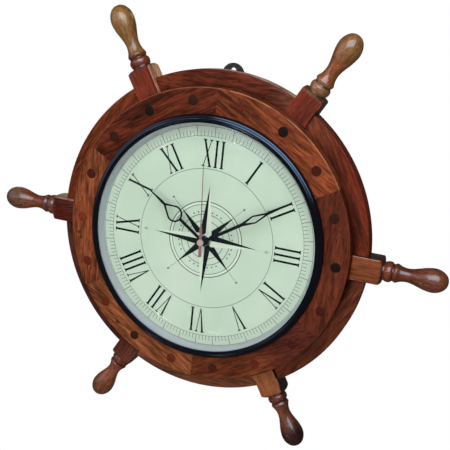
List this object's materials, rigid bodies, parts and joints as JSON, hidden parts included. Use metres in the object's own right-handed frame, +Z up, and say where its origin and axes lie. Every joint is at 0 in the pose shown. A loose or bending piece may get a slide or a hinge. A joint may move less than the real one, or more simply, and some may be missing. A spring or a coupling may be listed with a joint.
{
  "type": "ship wheel clock",
  "caption": "Wall clock in a turned wooden ship's wheel: ring of felloes with spoke grips, black bezel, domed lens, pale dial with roman hours, three hands and a quartz movement.",
  "frame": {"origin": "middle of the nail hole in the hanger eye, on the wall plane", "axes": "+X to the right as seen from the front, +Y into the wall, +Z up; the clock faces -Y"},
  "size_m": [0.452, 0.0513, 0.394],
  "materials": {
    "front_wood": "grained reddish brown, satin varnish",
    "main_wood": "dark red-brown, satin varnish",
    "spoke_wood": "honey to dark brown, glossy varnish",
    "plug_wood": "dark end grain",
    "bezel_plastic": "glossy black",
    "lens_clear": "clear, polished",
    "tray_plastic": "satin grey-white",
    "dial_paper": "pale green print, satin",
    "hand_black": "black lacquer",
    "hand_red": "dusty red lacquer",
    "movement_plastic": "fine-textured black",
    "wheel_plastic": "natural white",
    "nut_metal": "nickel plated",
    "hanger_enamel": "black enamel",
    "screw_steel": "zinc plated",
    "stator_steel": "rolled sheet",
    "coil_copper": "enamelled copper wire",
    "cell_jacket": "plain printed jacket",
    "rotor_magnet": "ground magnet"
  },
  "bodies": {
    "clock": {"front_felloe_1": "front_wood", "front_felloe_2": "front_wood", "front_felloe_3": "front_wood", "front_felloe_4": "front_wood", "front_felloe_5": "front_wood", "front_felloe_6": "front_wood", "main_felloe_1": "main_wood", "main_felloe_2": "main_wood", "main_felloe_3": "main_wood", "main_felloe_4": "main_wood", "main_felloe_5": "main_wood", "main_felloe_6": "main_wood", "spoke_1": "spoke_wood", "spoke_2": "spoke_wood", "spoke_3": "spoke_wood", "spoke_4": "spoke_wood", "spoke_5": "spoke_wood", "spoke_6": "spoke_wood", "plug_1": "plug_wood", "plug_2": "plug_wood", "plug_3": "plug_wood", "plug_4": "plug_wood", "plug_5": "plug_wood", "plug_6": "plug_wood", "plug_7": "plug_wood", "plug_8": "plug_wood", "plug_9": "plug_wood", "plug_10": "plug_wood", "plug_11": "plug_wood", "plug_12": "plug_wood", "plug_13": "plug_wood", "plug_14": "plug_wood", "plug_15": "plug_wood", "plug_16": "plug_wood", "plug_17": "plug_wood", "plug_18": "plug_wood", "rear_ring": "main_wood", "hanger_plate": "hanger_enamel", "hanger_screw_1": "screw_steel", "hanger_screw_2": "screw_steel", "bezel": "bezel_plastic", "lens": "lens_clear", "tray": "tray_plastic", "dial": "dial_paper", "fixing_nut": "nut_metal", "movement_case": "movement_plastic", "movement_cover": "movement_plastic", "battery_cell": "cell_jacket", "coil": "coil_copper", "stator": "stator_steel"},
    "second_body": {"second_hand": "hand_red", "seconds_wheel": "wheel_plastic"},
    "minute_body": {"minute_hand": "hand_black", "centre_wheel": "wheel_plastic"},
    "hour_body": {"hour_hand": "hand_black", "hour_wheel": "wheel_plastic"},
    "third_body": {"third_wheel": "wheel_plastic"},
    "fifth_body": {"fifth_wheel": "wheel_plastic"},
    "rotor_body": {"rotor": "rotor_magnet"},
    "setting_body": {"setting_knob": "movement_plastic"}
  },
  "joints": [
    {"name": "second_hand_turn", "type": "hinge", "parent": "clock", "child": "second_body", "pos_m": [0, -0.0331, -0.1527], "axis": [0, 1, 0], "continuous": true},
    {"name": "minute_hand_turn", "type": "hinge", "parent": "clock", "child": "minute_body", "pos_m": [0, -0.0331, -0.1527], "axis": [0, 1, 0], "continuous": true},
    {"name": "hour_hand_turn", "type": "hinge", "parent": "clock", "child": "hour_body", "pos_m": [0, -0.0331, -0.1527], "axis": [0, 1, 0], "continuous": true},
    {"name": "third_wheel_turn", "type": "hinge", "parent": "clock", "child": "third_body", "pos_m": [-0.0102, -0.0331, -0.1527], "axis": [0, 1, 0], "continuous": true},
    {"name": "fifth_wheel_turn", "type": "hinge", "parent": "clock", "child": "fifth_body", "pos_m": [0, -0.0331, -0.1457], "axis": [0, 1, 0], "continuous": true},
    {"name": "rotor_turn", "type": "hinge", "parent": "clock", "child": "rotor_body", "pos_m": [0, -0.0331, -0.1405], "axis": [0, 1, 0], "continuous": true},
    {"name": "setting_knob_turn", "type": "hinge", "parent": "clock", "child": "setting_body", "pos_m": [0.01117, -0.0331, -0.1527], "axis": [0, 1, 0], "continuous": true}
  ],
  "couplings": [
    {"joint": "minute_hand_turn", "follows": "second_hand_turn", "ratio": 0.016667},
    {"joint": "hour_hand_turn", "follows": "second_hand_turn", "ratio": 0.0013889},
    {"joint": "third_wheel_turn", "follows": "second_hand_turn", "ratio": -0.13333},
    {"joint": "fifth_wheel_turn", "follows": "second_hand_turn", "ratio": -6},
    {"joint": "rotor_turn", "follows": "second_hand_turn", "ratio": 30},
    {"joint": "setting_knob_turn", "follows": "second_hand_turn", "ratio": -0.0055556}
  ]
}
